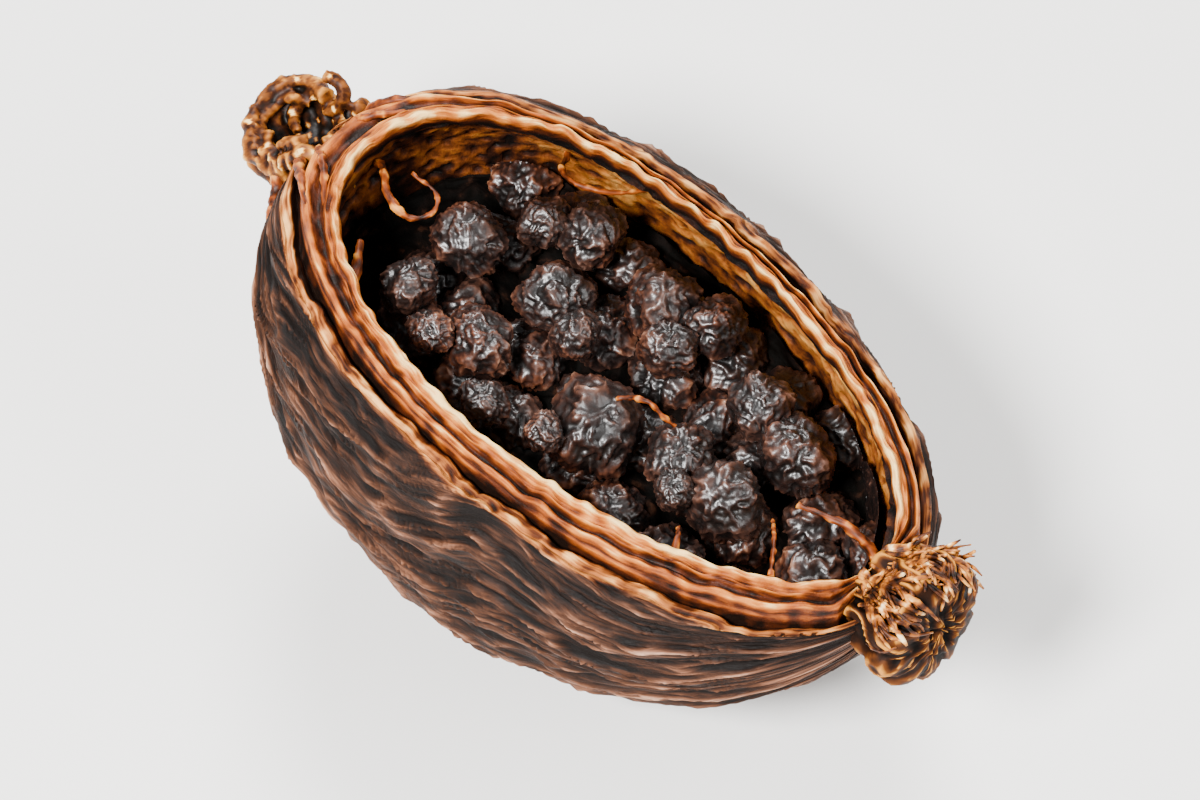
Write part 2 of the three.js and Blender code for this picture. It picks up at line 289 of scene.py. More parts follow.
def roughen(mesh, amount, size, seed):
    # moves vertices along their normals by noise of this size, and keeps the noise as relief
    attribute = mesh.attributes.get("relief") or mesh.attributes.new("relief", "FLOAT", "POINT")
    normals = [v.normal.copy() for v in mesh.vertices]
    offset = Vector((seed, seed * 1.7, seed * 0.6))
    for vert, normal in zip(mesh.vertices, normals):
        point = vert.co / (size * mm) + offset
        height = noise.noise(point) + 0.5 * noise.noise(point * 2.3) + 0.3 * noise.noise(point * 5.1)
        vert.co += normal * (amount * mm * height)
        attribute.data[vert.index].value = clamp(0.5 + 0.6 * height)


def evaluatedMesh(holder):
    # the finished mesh of an object, which is then removed
    bpy.context.scene.collection.objects.link(holder)
    bpy.context.view_layer.update()
    mesh = bpy.data.meshes.new_from_object(holder.evaluated_get(bpy.context.evaluated_depsgraph_get()))
    bpy.data.objects.remove(holder)
    return mesh


def subdivided(mesh, name):
    bm = bmesh.new()
    bm.from_mesh(mesh)
    bmesh.ops.subdivide_edges(bm, edges=bm.edges, cuts=1, use_grid_fill=True)
    return meshFrom(bm, name)


def strandMesh(name, strands, sides=3):
    # strands: each a list of (x, y, z, radius) in mm, drawn as a smooth round strand
    curve = bpy.data.curves.new(name, "CURVE")
    curve.dimensions = "3D"
    curve.bevel_depth = mm
    curve.bevel_resolution = sides
    curve.resolution_u = 6
    curve.use_fill_caps = True
    for points in strands:
        spline = curve.splines.new("BEZIER")
        spline.bezier_points.add(len(points) - 1)
        for knot, (x, y, z, radius) in zip(spline.bezier_points, points):
            knot.co = (x * mm, y * mm, z * mm)
            knot.radius = radius
            knot.handle_left_type = knot.handle_right_type = "AUTO"
    bm = bmesh.new()
    bm.from_mesh(evaluatedMesh(bpy.data.objects.new(name, curve)))
    bmesh.ops.remove_doubles(bm, verts=bm.verts, dist=1e-6)  # the end caps have their own vertices
    return meshFrom(bm, name)


def fuse(name, meshes, voxel, rounds):
    # joins overlapping meshes into one skin, then softens it
    bm = bmesh.new()
    for mesh in meshes:
        bm.from_mesh(mesh)
    holder = bpy.data.objects.new(name, meshFrom(bm, name))
    remesh = holder.modifiers.new("fuse", "REMESH")
    remesh.mode = "VOXEL"
    remesh.voxel_size = voxel * mm
    soft = holder.modifiers.new("soften", "SMOOTH")
    soft.iterations = rounds
    soft.factor = 0.5
    return evaluatedMesh(holder)


def colourByRelief(tree, shader, stops, edgeGain=0.0):
    # colours dried tissue by its relief; where edgeGain is given it is also paler on sharp edges and darker
    # in hollows, a painted highlight and painted shade
    shade = addNode(tree, "Attribute", {"attribute_name": "relief"}).outputs["Fac"]
    if edgeGain:
        edges = addNode(tree, "NewGeometry")
        # painted highlight on sharp edges and painted shade in hollows
        folds = addNode(
            tree, "Math", {"operation": "MULTIPLY_ADD", 1: edgeGain, 2: -0.5 * edgeGain},
            {0: edges.outputs["Pointiness"]},
        )
        shade = addNode(tree, "Math", {"operation": "ADD"}, {0: shade, 1: folds.outputs[0]}).outputs[0]
    colour = setRamp(addNode(tree, "ValToRGB", links={"Fac": shade}), stops)
    tree.links.new(colour.outputs[0], shader.inputs["Base Color"])


# Rind: the dried ribbed outer wall of the pod
rind = {
    "rows": 250,  # along the pod
    "columns": 372,  # round it, the cut ledge included
    "ledgeColumns": 16,
    "hiddenColumns": 6,  # on each side, down inside the wall to the belly
    "ledgeWidth": 2.4,  # mm, from the cut edge to under the lining's lip
    "fibreHeight": 0.28,  # mm
    "fineHeight": 0.17,  # mm
    "wall": 1.0,  # mm, its thickness where it is hidden
    "lowest": 0.03,  # mm over the ground
    "ledgeGap": 0.2,  # mm, from the ledge to the lining
    "ledgeUnder": 0.75,  # mm below the cut edge, where that gap is kept
    "tornWidth": 0.5,  # mm, of torn edge that lies bare
    "tornSpread": 0.3,  # mm, more or less than that
    "tornStep": 0.5,  # mm, from the torn edge down to the ledge
    "ledgeFall": 0.25,  # mm, further down under the lip
}


def cutAngle(x):
    # angle from the belly up to the cut edge, and half a turn where the body is closed
    r = baseRadius(x)
    height = rindEdge(x, 0.0) - axisHeight(x)
    if height >= r:
        return math.pi
    return math.pi - math.acos(clamp(height / r, -1, 1))


def ribShape(x, turn, base):
    # height of the skin above the grooves, in mm, and how light it is: paler on the crests, partly from wear
    # and partly a painted highlight, and darker in the grooves, a painted shade
    wander = 0.16 * noiseAt(x * 0.22, turn * 3.0, 3.0) + 0.05 * noiseAt(x * 0.9, turn * 9.0, 8.0)
    place = pod["ribCount"] * turn / (2 * math.pi) + ribDrift(x) + wander
    k = round(place)
    crest = math.cos(math.pi * (place - k)) ** 2
    broken = 0.85 + 0.5 * noiseAt(x * 0.45, k * 7.3, 1.0)
    fibre = ridges(place * 2.3, x * 0.16, 5.0, 4.2) ** 1.3
    fine = ridges(place * 5.6, x * 0.34, 12.0)
    ends = min(1, base / 6)
    height = crest ** 0.85 * ribStrength(k % pod["ribCount"], x, base * math.sin(turn), base) * broken
    height += ends * (rind["fibreHeight"] * fibre + rind["fineHeight"] * fine - 0.16)
    tone = -0.12 + 0.28 * crest * broken + 0.36 * fibre ** 1.6 + 0.36 * fine
    return height, clamp(tone), place


def rindPoint(u, v):
    # the hidden inner side begins where the ledge ends, and both halves of it meet over the belly
    column = v * (rind["columns"] + 2 * rind["hiddenColumns"]) - rind["hiddenColumns"]
    down = max(-column, column - rind["columns"]) / rind["hiddenColumns"]
    point, tone, kind, s, t = rindSkin(u, clamp(column / rind["columns"]))
    x = point.x
    if down < 0.01 or cutAngle(x) >= math.pi:
        return point, tone, kind, s, t
    height = point.z - axisHeight(x)
    r = blend(math.hypot(point.y, height), max(0.4, baseRadius(x) - rind["wall"]), ease(0, 0.16, down))
    turn = math.atan2(abs(point.y), -height) * (1 - down)
    side = -1 if column < 0 else 1
    return Vector((x, side * r * math.sin(turn), axisHeight(x) - r * math.cos(turn))), 0.0, 0.0, s, t


def rindSkin(u, v):
    x = -pod["bodyHalf"] * (0.45 * (1 - 2 * u) + 0.55 * math.cos(math.pi * u))
    if u < 1e-6 or u > 1 - 1e-6:
        return Vector((x, 0, axisHeight(x))), 0.3, 0.0, x, 0.0
    base = baseRadius(x)
    ledge = rind["ledgeColumns"] / rind["columns"]
    side = -1 if v < 0.5 else 1
    fromEdge = min(v, 1 - v)
    share = clamp((v - ledge) / (1 - 2 * ledge))
    edge = cutAngle(x)
    turn = edge * (2 * share - 1)
    height, tone, place = ribShape(x, turn, base)
    fade = 0.5 if edge < math.pi else 1.0  # over the closed end both sides meet without a step
    r = base + height * (1 - fade * ease(0.9, 1.0, abs(2 * share - 1)))
    y = r * math.sin(turn)
    z = axisHeight(x) - r * math.cos(turn)
    beads = noiseAt(x * 0.9, side * 5.0, 2.0) + 0.5 * noiseAt(x * 2.1, side * 7.0, 4.0)
    if edge < math.pi:
        z = min(z, rindEdge(x, y) + 0.12 * beads)
    else:
        y *= 1 - ease(0.97, 1.0, abs(2 * share - 1))
    if fromEdge >= ledge or edge >= math.pi:
        nearCut = ease(0.975, 0.995, abs(2 * share - 1)) if edge < math.pi else 0
        tone = max(tone, (0.6 + 0.3 * beads) * nearCut)
        return Vector((x, y, max(z, rind["lowest"]))), tone, nearCut, x, place * 3.0
    inward = 1 - fromEdge / ledge  # 0 at the outer edge, 1 deep under the lip
    room = abs(y) - wallWidth(x, z - rind["ledgeUnder"]) - rind["ledgeGap"]
    width = min(rind["ledgeWidth"], 0.95 * abs(y), max(0.2, room))
    depth = inward * width
    torn = rind["tornWidth"] + rind["tornSpread"] * noiseAt(x * 0.5, side * 3.0, 6.0)
    drop = rind["tornStep"] * ease(torn, torn + 0.3, depth) + rind["ledgeFall"] * ease(0.8, 1.6, depth)
    grain = noiseAt(x * 1.1, depth * 4 + side * 9, 4.0) + 0.5 * noiseAt(x * 3.1, depth * 4 + side * 9, 7.0)
    z += 0.1 * math.sin(math.pi * clamp(depth / torn)) + 0.08 * grain - drop
    stain = noiseAt(x * 0.3, side * 4.0, 9.0)
    # painted shade: the ledge darkens where it runs in under the lip
    under = ease(torn - 0.1, torn + 0.2, depth)
    relief = clamp(0.52 + 0.4 * grain + 0.35 * beads + 0.4 * stain - 1.2 * under)
    return Vector((x, y - side * inward * width, z)), relief, 1.0, x, inward * width


driedRind, tree, shader = newMaterial("driedPodRind")
# Dried fibrous husk: matt dark brown; paler and pinker on the crests, partly wear and partly a painted
# highlight, and nearly black in the grooves, a painted shade
relief, layer, fibre = [addNode(tree, "Attribute", {"attribute_name": name}) for name in gridAttributes]
along = fibre.outputs["Vector"]
threads = addNode(tree, "Mapping", {"Scale": (0.35, 3.6, 1.0)}, {"Vector": along})  # fibres 0.3 mm wide
threadNoise = addNode(
    tree, "TexNoise", {"Scale": 1.0, "Detail": 6.0, "Roughness": 0.62}, {"Vector": threads.outputs[0]}
)
flakes = addNode(tree, "Mapping", {"Scale": (0.28, 0.9, 1.0)}, {"Vector": along})  # 1 mm wide
flakeNoise = addNode(
    tree, "TexNoise", {"Scale": 1.0, "Detail": 5.0, "Roughness": 0.62}, {"Vector": flakes.outputs[0]}
)
lift = addNode(tree, "Math", {"operation": "MULTIPLY_ADD", 1: 1.5, 2: -0.75}, {0: threadNoise.outputs["Fac"]})
# the crests' wear and painted highlight and the grooves' painted shade, with the fibres' grain
wearAndPaintedLight = addNode(tree, "Math", {"operation": "ADD"}, {0: relief.outputs["Fac"], 1: lift.outputs[0]})
flaked = addNode(tree, "Math", {"operation": "MULTIPLY_ADD", 1: 0.6, 2: -0.3}, {0: flakeNoise.outputs["Fac"]})
shade = addNode(tree, "Math", {"operation": "ADD"}, {0: wearAndPaintedLight.outputs[0], 1: flaked.outputs[0]})
skin = setRamp(
    addNode(tree, "ValToRGB", links={"Fac": shade.outputs[0]}),
    [(0.04, "#0c0604"), (0.26, "#27150c"), (0.46, "#492b1b"), (0.66, "#7c513b"), (0.97, "#cda286")],
)
flesh = setRamp(
    addNode(tree, "ValToRGB", links={"Fac": shade.outputs[0]}),
    [(0.1, "#1a0b04"), (0.35, "#5a2a0f"), (0.6, "#b0662a"), (0.92, "#f0b268")],
)
colour = addNode(
    tree, "Mix", {"data_type": "RGBA"}, {0: layer.outputs["Fac"], 6: skin.outputs[0], 7: flesh.outputs[0]}
)
tree.links.new(colour.outputs[2], shader.inputs["Base Color"])
bump = addNode(tree, "Bump", {"Strength": 0.8, "Distance": 0.00012}, {"Height": shade.outputs[0]})
tree.links.new(bump.outputs[0], shader.inputs["Normal"])
shader.inputs["Roughness"].default_value = 0.55
shader.inputs["Specular IOR Level"].default_value = 0.13

rindMesh = gridPiece("rindMesh", rind["rows"], rind["columns"] + 2 * rind["hiddenColumns"], rindPoint)
keepPiece("ribbedRind", rindMesh, driedRind, ["husk"])
print("rind made", len(rindMesh.polygons))


# Lining: the tan inner layer with its raised, beaded lip
lining = {
    "columns": 620,  # round the opening
    "lipRows": 44,
    "wallRows": 34,
    "floorRows": 6,
    "outerRows": 8,  # down the hidden outer side
    "outerInset": 1.35,  # mm, of that side from the pod's side
    "outerAtCalyx": 1.6,  # mm, and from its ends
    "outerAtStalk": 0.6,
    "outerStart": 1.25,  # mm, of that side below the top of the wall
    "outerDepth": 9.1,  # mm, of its lowest place below the body's axis
    "wallTop": 1.15,  # mm below the lip's top
    "wallFoot": 10.2,  # mm high, under the pulp's top except near the stalk
    "floorDepth": 8.6,  # mm, the same for the inner side
    "lipFrom": -15.6,  # mm, the lip's ends along x
    "lipTo": 15.9,
    "lipUnder": 0.5,  # mm below the lip's top, where it meets the pod's outside
    "lipInset": 0.15,  # mm
    "lipWidth": 1.4,  # mm, of the thick part of the lip
    "squeeze": 0.52,  # columns closer together at the ends of the opening
}

# The lip's section: how far across it from outside to inside, mm below its top, and how light it is, which
# paints a highlight on the lip's crests and shade in its groove and down its sides
lipSection = [
    (-0.08, 2.40, 0.00), (0.00, 1.50, 0.10), (0.02, 1.05, 0.50), (0.06, 0.85, 0.25), (0.03, 0.60, 0.45),
    (0.06, 0.38, 0.72), (0.13, 0.27, 0.76), (0.21, 0.32, 0.45), (0.29, 0.52, 0.12), (0.36, 0.55, 0.12),
    (0.43, 0.36, 0.42), (0.50, 0.22, 0.60), (0.56, 0.22, 0.50), (0.63, 0.17, 0.58), (0.70, 0.06, 0.76),
    (0.78, 0.00, 0.98), (0.88, 0.02, 1.00), (0.96, 0.13, 0.95), (1.00, 0.32, 0.66), (1.00, 0.55, 0.35),
    (0.96, 0.78, 0.10), (0.90, 0.98, 0.00), (0.82, 1.10, 0.00),
]


def lipAt(share):
    place = clamp(share) * (len(lipSection) - 1)
    first = min(int(place), len(lipSection) - 2)
    t = place - first
    return tuple(blend(a, b, t) for a, b in zip(lipSection[first], lipSection[first + 1]))


def outerSideWidth(x, z):
    # half width of the lining's hidden outer side
    return innerWidth(x, z, lining["outerAtCalyx"] if x < 0 else lining["outerAtStalk"], lining["outerInset"])


def inOpening(x, y):
    # in plan, inside the lip's inner side
    x -= pod["mouthPlace"]
    return abs(y) < eggRadius(x, pod["mouthHalf"], pod["mouthWidth"]) and abs(x) < pod["mouthHalf"]


def inLip(x, y):
    height = edgeHeight(x, y) - lining["lipUnder"]
    return lining["lipFrom"] < x < lining["lipTo"] and abs(y) < outerWidth(x, height, lining["lipInset"])


lipCurve = []
for column in range(lining["columns"] + 1):
    turn = 2 * math.pi * column / lining["columns"]
    angle = math.atan2(lining["squeeze"] * math.sin(turn), math.cos(turn))
    innerReach = reachAlong(angle, inOpening)
    outerReach = reachAlong(angle, inLip)
    levels = []
    x, y = planPoint(angle, innerReach)
    top = edgeHeight(x, y) - lining["wallTop"]
    for row in range(lining["wallRows"] + 1):
        z = blend(top, lining["wallFoot"], (row / lining["wallRows"]) ** 1.15)
        levels.append((reachAlong(angle, lambda x, y: abs(y) < wallWidth(x, z)), z))
    outside = []
    for row in range(1, lining["outerRows"] + 1):
        z = blend(top - lining["outerStart"], lining["wallFoot"], row / lining["outerRows"])
        outside.append((reachAlong(angle, lambda x, y: abs(y) < outerSideWidth(x, z)), z))
    lipCurve.append((angle, innerReach, outerReach, levels, outside))

# Distance round the lip, in mm, for beads and waves of a true size
lipLength = [0.0]
for column in range(lining["columns"]):
    x0, y0 = planPoint(lipCurve[column][0], lipCurve[column][1])
    x1, y1 = planPoint(lipCurve[column + 1][0], lipCurve[column + 1][1])
    lipLength.append(lipLength[-1] + math.hypot(x1 - x0, y1 - y0))


def loopNoise(distance, size, seed):
    # noise that closes on itself round the lip
    turn = 2 * math.pi * distance / lipLength[-1]
    radius = lipLength[-1] / (2 * math.pi * size)
    return noiseAt(radius * math.cos(turn), radius * math.sin(turn), seed)


def liningPoint(u, v):
    # the rows run up the hidden outer side, over the lip, down the wall and in under the pulp
    column = round(u * lining["columns"])
    angle, innerReach, outerReach, levels, outside = lipCurve[column]
    distance = lipLength[column]
    hidden = lining["outerRows"] + lining["floorRows"]
    row = round(v * (hidden + lining["lipRows"] + lining["wallRows"] + lining["floorRows"])) - hidden
    if row < 0:
        share = max(0, -row - lining["outerRows"]) / lining["floorRows"]
        reach, z = outside[min(-row, lining["outerRows"]) - 1]
        x, y = planPoint(angle, reach * math.cos(0.5 * math.pi * share) * (share < 1))
        z = blend(z, axisHeight(0) - lining["outerDepth"], math.sin(0.5 * math.pi * share))
        return Vector((x, y, z)), 0.0, 1.0, distance, z
    if row <= lining["lipRows"]:
        across, below, tone = lipAt(row / lining["lipRows"])
        inner = ease(0.45, 0.8, across)
        wobble = 0.2 * loopNoise(distance, 2.2, 2.0) + 0.12 * loopNoise(distance, 0.8, 5.0)
        wobble += 0.1 * loopNoise(distance, 0.9, 15 + 2 * across)
        narrow = min(1, lining["lipWidth"] / (outerReach - innerReach))
        spread = 1 - (1 - across) * narrow if across > 0.4 else (1 - 0.6 * narrow) * across / 0.4
        x, y = planPoint(angle, blend(outerReach, innerReach, spread) + wobble * inner)
        side = (y > 1e-6) - (y < -1e-6)  # 0 where both sides meet, at the ends
        turns = 2 * math.pi * x / pod["lipWaveLength"]
        strength = 0.65 + 0.9 * loopNoise(distance, 5.0, 90.0)
        wave = (math.sin(turns + 1.3 * side) + 0.6 * math.sin(1.7 * turns)) * strength
        bead = loopNoise(distance, 0.6, 9.0 + 3 * round(across))
        grain = loopNoise(distance, 0.8, 20 + row * 0.45)
        lift = pod["lipWave"] * wave * 0.8 + 0.14 * bead * (0.4 + 0.6 * inner) + 0.07 * grain
        z = edgeHeight(x, y) - below + lift * ease(1.2, 0.5, below)
        stain = loopNoise(distance, 3.0, 70 + 2 * across) + 0.6 * loopNoise(distance, 0.5, 80 + 3 * across)
        tone = clamp(0.86 * tone + 0.25 * bead + (0.28 * grain + 0.22 * stain) * ease(0, 0.5, tone))
        return Vector((x, y, z)), tone, ease(0.7, 1.0, below) * inner, distance, row * 0.12
    top = levels[0][1]
    if row <= lining["lipRows"] + lining["wallRows"]:
        reach, z = levels[row - lining["lipRows"]]
        pit = max(0, loopNoise(distance, 0.5, 44 + z * 2.0))
        uneven = 0.22 * loopNoise(distance, 2.6, 30 + z * 0.4) + 0.14 * loopNoise(distance, 0.9, 40 + z)
        reach += uneven + 0.3 * pit
    else:
        pit = 0
        share = (row - lining["lipRows"] - lining["wallRows"]) / lining["floorRows"]
        reach, z = levels[-1]
        reach *= math.cos(0.5 * math.pi * share) * (share < 1)
        z = blend(z, axisHeight(0) - lining["floorDepth"], math.sin(0.5 * math.pi * share))
    x, y = planPoint(angle, reach)
    depth = (top - z) / (top - lining["wallFoot"])
    # painted shade: nearly black just under the lip, darker towards the wall's foot and in its pits; the wall
    # also darkens towards the calyx end
    tone = 0.02 + 0.8 * ease(0.0, 0.06, depth) - 0.35 * ease(0.45, 1.0, depth)
    tone *= 1 - 0.5 * ease(-6.0, -13.0, x)
    stain = 0.35 * loopNoise(distance, 1.5, 50 + z * 0.6) + 0.2 * loopNoise(distance, 0.7, 60 + z * 1.2)
    tone += stain - 0.7 * pit
    return Vector((x, y, z)), clamp(tone), 1.0, distance, z


podMembrane, tree, shader = newMaterial("driedPodMembrane")
# Dried inner layer: fibrous orange tan tissue, stained brown inside; cream on the lip's crests, a painted
# highlight, and dark in its groove, under the lip, in the wall's pits and deep down, a painted shade
relief, layer, fibre = [addNode(tree, "Attribute", {"attribute_name": name}) for name in gridAttributes]
along = fibre.outputs["Vector"]
threads = addNode(tree, "Mapping", {"Scale": (0.8, 4.5, 1.0)}, {"Vector": along})  # fibres 0.2 mm wide
threadNoise = addNode(
    tree, "TexNoise", {"Scale": 1.0, "Detail": 5.0, "Roughness": 0.6}, {"Vector": threads.outputs[0]}
)
spot = addNode(tree, "TexCoord").outputs["Object"]
# stains of 3 mm and specks of 0.6 mm
stains = addNode(tree, "TexNoise", {"Scale": 300.0, "Detail": 5.0, "Roughness": 0.65}, {"Vector": spot})
specks = addNode(tree, "TexNoise", {"Scale": 1600.0, "Detail": 4.0, "Roughness": 0.6}, {"Vector": spot})
lift = addNode(tree, "Math", {"operation": "MULTIPLY_ADD", 1: 0.7, 2: -0.35}, {0: threadNoise.outputs["Fac"]})
shade = addNode(tree, "Math", {"operation": "ADD"}, {0: relief.outputs["Fac"], 1: lift.outputs[0]})
lipColour = setRamp(
    addNode(tree, "ValToRGB", links={"Fac": shade.outputs[0]}),
    [(0.05, "#140702"), (0.28, "#4f2008"), (0.5, "#9b4c13"), (0.74, "#d07c2e"), (0.98, "#ffcf82")],
)
ground = addNode(tree, "Math", {"operation": "MULTIPLY_ADD", 1: 0.75, 2: -0.38}, {0: relief.outputs["Fac"]})
mottle = addNode(
    tree, "Math", {"operation": "MULTIPLY_ADD", 1: 0.5}, {0: specks.outputs["Fac"], 2: ground.outputs[0]}
)
wallShade = addNode(
    tree, "Math", {"operation": "MULTIPLY_ADD", 1: 0.55}, {0: stains.outputs["Fac"], 2: mottle.outputs[0]}
)
wallColour = setRamp(
    addNode(tree, "ValToRGB", links={"Fac": wallShade.outputs[0]}),
    [(0.18, "#0a0402"), (0.36, "#2e1205"), (0.52, "#69340f"), (0.68, "#9a581c"), (0.92, "#d29448")],
)
colour = addNode(
    tree, "Mix", {"data_type": "RGBA"},
    {0: layer.outputs["Fac"], 6: lipColour.outputs[0], 7: wallColour.outputs[0]},
)
tree.links.new(colour.outputs[2], shader.inputs["Base Color"])
bump = addNode(tree, "Bump", {"Strength": 0.6, "Distance": 0.0001}, {"Height": shade.outputs[0]})
wallBump = addNode(
    tree, "Bump", {"Strength": 0.9, "Distance": 0.0003},
    {"Height": wallShade.outputs[0], "Normal": bump.outputs[0]},
)
tree.links.new(wallBump.outputs[0], shader.inputs["Normal"])
shader.inputs["Roughness"].default_value = 0.55
shader.inputs["Specular IOR Level"].default_value = 0.2
shader.inputs["Subsurface Weight"].default_value = 0.08
shader.inputs["Subsurface Radius"].default_value = (0.0006, 0.0003, 0.00015)
shader.inputs["Subsurface Scale"].default_value = 1.0

liningRows = lining["lipRows"] + lining["wallRows"] + 2 * lining["floorRows"] + lining["outerRows"]
liningMesh = gridPiece("liningMesh", lining["columns"], liningRows, liningPoint)
keepPiece("beadedLining", liningMesh, podMembrane, ["lining"])
print("lining made", len(liningMesh.polygons))


# Dried strands that hang from the lining, and cords that tie its lip to the crown:
# paths of (x, y, height over the necks) and a radius in mm
strands = {
    "calyxCurl": ([
        (-14.9, 0.5, 0.4), (-13.6, 0.8, 2.4), (-11.9, -0.4, 2.6), (-10.6, -0.3, 2.3), (-10.3, 0.9, 2.6),
        (-11.9, 1.0, 3.1),
    ], 0.15),
    "stalkFlap": ([(15.4, 1.0, -0.2), (13.6, 1.0, 1.0), (11.0, 0.4, 1.1)], 0.22),
    "sideThread": ([(9.4, -6.7, 0.4), (8.4, -4.4, 1.3), (7.9, -3.7, 0.9)], 0.14),
    "cornerFlap": ([(-11.6, -6.5, 0.6), (-10.6, -4.2, 2.0), (-11.4, -2.8, 2.5)], 0.3),
    "seedThread": ([(1.6, -0.6, 0.9), (2.8, -0.1, 1.3), (3.8, 0.1, 0.6), (4.6, 0.6, -0.3)], 0.1),
    "seedArc": ([(-8.6, 7.4, 1.2), (-7.4, 5.9, 2.0), (-5.4, 6.5, 2.1), (-4.0, 9.0, 1.4)], 0.12),
    "nearThread": ([(12.9, -3.6, 2.2), (11.7, -2.0, 1.9), (10.6, -0.8, 0.9)], 0.1),
    "farCord": ([(-15.9, 2.1, 2.0), (-15.4, 2.3, 3.3), (-14.4, 3.0, 4.15), (-12.4, 4.4, 4.1)], 0.24),
    "farInnerCord": ([(-15.8, 0.6, 2.5), (-15.2, 1.0, 3.8), (-14.3, 1.8, 4.4), (-12.9, 3.3, 4.2)], 0.2),
    "nearCord": ([(-16.4, -1.3, 2.4), (-15.7, -2.1, 3.2), (-14.5, -3.1, 4.05), (-12.4, -4.6, 3.95)], 0.24),
    "nearInnerCord": ([(-15.9, -0.6, 2.4), (-15.3, -1.2, 3.7), (-14.3, -2.0, 4.35), (-12.9, -3.4, 4.1)], 0.2),
    "backCord": ([(-17.2, -0.5, 1.6), (-17.2, -1.7, 1.2), (-16.8, -2.6, 0.6), (-15.9, -3.9, 0.9)], 0.3),
}
strandList = []
for points, radius in strands.values():
    last = len(points) - 1
    knots = []
    for k, (x, y, z) in enumerate(points):
        knots.append((x, y, pod["endHeight"] + z, radius * (1.2 - 0.75 * (k / last) ** 2)))
    strandList.append(knots)
strandsMesh = subdivided(strandMesh("strandsMesh", strandList, 4), "strandsMesh")
roughen(strandsMesh, 0.09, 0.45, 4.0)

driedStrand, tree, shader = newMaterial("driedStrandTissue")
# Thin dried tissue, orange brown with paler rubbed places
colourByRelief(tree, shader, [(0.1, "#1c0a03"), (0.4, "#562306"), (0.65, "#8a3f0d"), (0.97, "#dc8f3a")])
shader.inputs["Roughness"].default_value = 0.5
shader.inputs["Specular IOR Level"].default_value = 0.25
keepPiece("driedStrands", strandsMesh, driedStrand, ["lining"])
print("strands made", len(strandsMesh.polygons))


# Seeds and pulp
seeds = {
    "detail": 5,  # subdivisions of each seed
    "drop": 2.5,  # mm, tops below the lip
    "bedSize": 3.1,  # mm, of each lower seed
    "bedPitch": 3.1,  # mm
    "bedShift": -0.8,  # mm, along x
    "bedDrop": 4.6,  # mm, tops of the lower seeds below the lip
    "pulpDrop": 6.6,  # mm, its top below the lip
    "wrinkle": 0.12,  # share of a seed's size
    "roomEnds": 2.3,  # mm, of the space inside the lining from the pod's ends and sides
    "roomInset": 2.05,
    "pulpAtStalk": 1.3,  # mm, of the pulp from the stalk end
    "clumps": [  # x, y and size in mm, then size and direction in degrees of the ones stuck to it
        (-8.9, 1.2, 3.0, []),
        (-5.3, 5.3, 2.8, [(2.2, 214)]),
        (-5.2, -2.1, 3.0, [(1.9, 223)]),
        (-9.1, -2.3, 2.5, []),
        (-4.2, 1.7, 3.0, [(2.2, 338)]),
        (-0.9, 5.0, 3.4, [(2.7, 16), (2.5, 319)]),
        (1.1, -1.5, 4.2, [(1.7, 252)]),
        (-2.6, -4.6, 2.1, []),
        (8.2, 3.4, 3.4, [(2.7, 168)]),
        (7.6, -0.4, 3.5, [(2.9, 178), (1.8, 227)]),
    ],
}

seedCoat, tree, shader = newMaterial("wrinkledSeedCoat")
# Ripe seed under a film of dried sticky pulp: near black, with small sharp highlights from its coat; purple
# brown on its ridges, a painted sheen, and darker between them, a painted shade
relief = addNode(tree, "Attribute", {"attribute_name": "relief"})
spot = addNode(tree, "TexCoord").outputs["Object"]
# grain of 0.4 mm, and warmer patches of 4 mm
grain = addNode(tree, "TexNoise", {"Scale": 2600.0, "Detail": 4.0, "Roughness": 0.6}, {"Vector": spot})
lift = addNode(tree, "Math", {"operation": "MULTIPLY_ADD", 1: 0.5, 2: -0.25}, {0: grain.outputs["Fac"]})
shade = addNode(tree, "Math", {"operation": "ADD"}, {0: relief.outputs["Fac"], 1: lift.outputs[0]})
seedColour = setRamp(
    addNode(tree, "ValToRGB", links={"Fac": shade.outputs[0]}),
    [(0.15, "#080403"), (0.45, "#1d0f0b"), (0.68, "#42291f"), (0.95, "#8a675a")],
)
warmColour = setRamp(
    addNode(tree, "ValToRGB", links={"Fac": shade.outputs[0]}),
    [(0.15, "#0c0503"), (0.45, "#2e140a"), (0.68, "#623621"), (0.95, "#b58562")],
)
patches = addNode(tree, "TexNoise", {"Scale": 260.0, "Detail": 2.0}, {"Vector": spot})
warmth = addNode(tree, "MapRange", {1: 0.48, 2: 0.68}, {0: patches.outputs["Fac"]})
colour = addNode(
    tree, "Mix", {"data_type": "RGBA"},
    {0: warmth.outputs[0], 6: seedColour.outputs[0], 7: warmColour.outputs[0]},
)
tree.links.new(colour.outputs[2], shader.inputs["Base Color"])
bump = addNode(tree, "Bump", {"Strength": 0.5, "Distance": 0.00008}, {"Height": shade.outputs[0]})
tree.links.new(bump.outputs[0], shader.inputs["Normal"])
shader.inputs["Roughness"].default_value = 0.42
shader.inputs["Coat Weight"].default_value = 0.28
shader.inputs["Coat Roughness"].default_value = 0.2


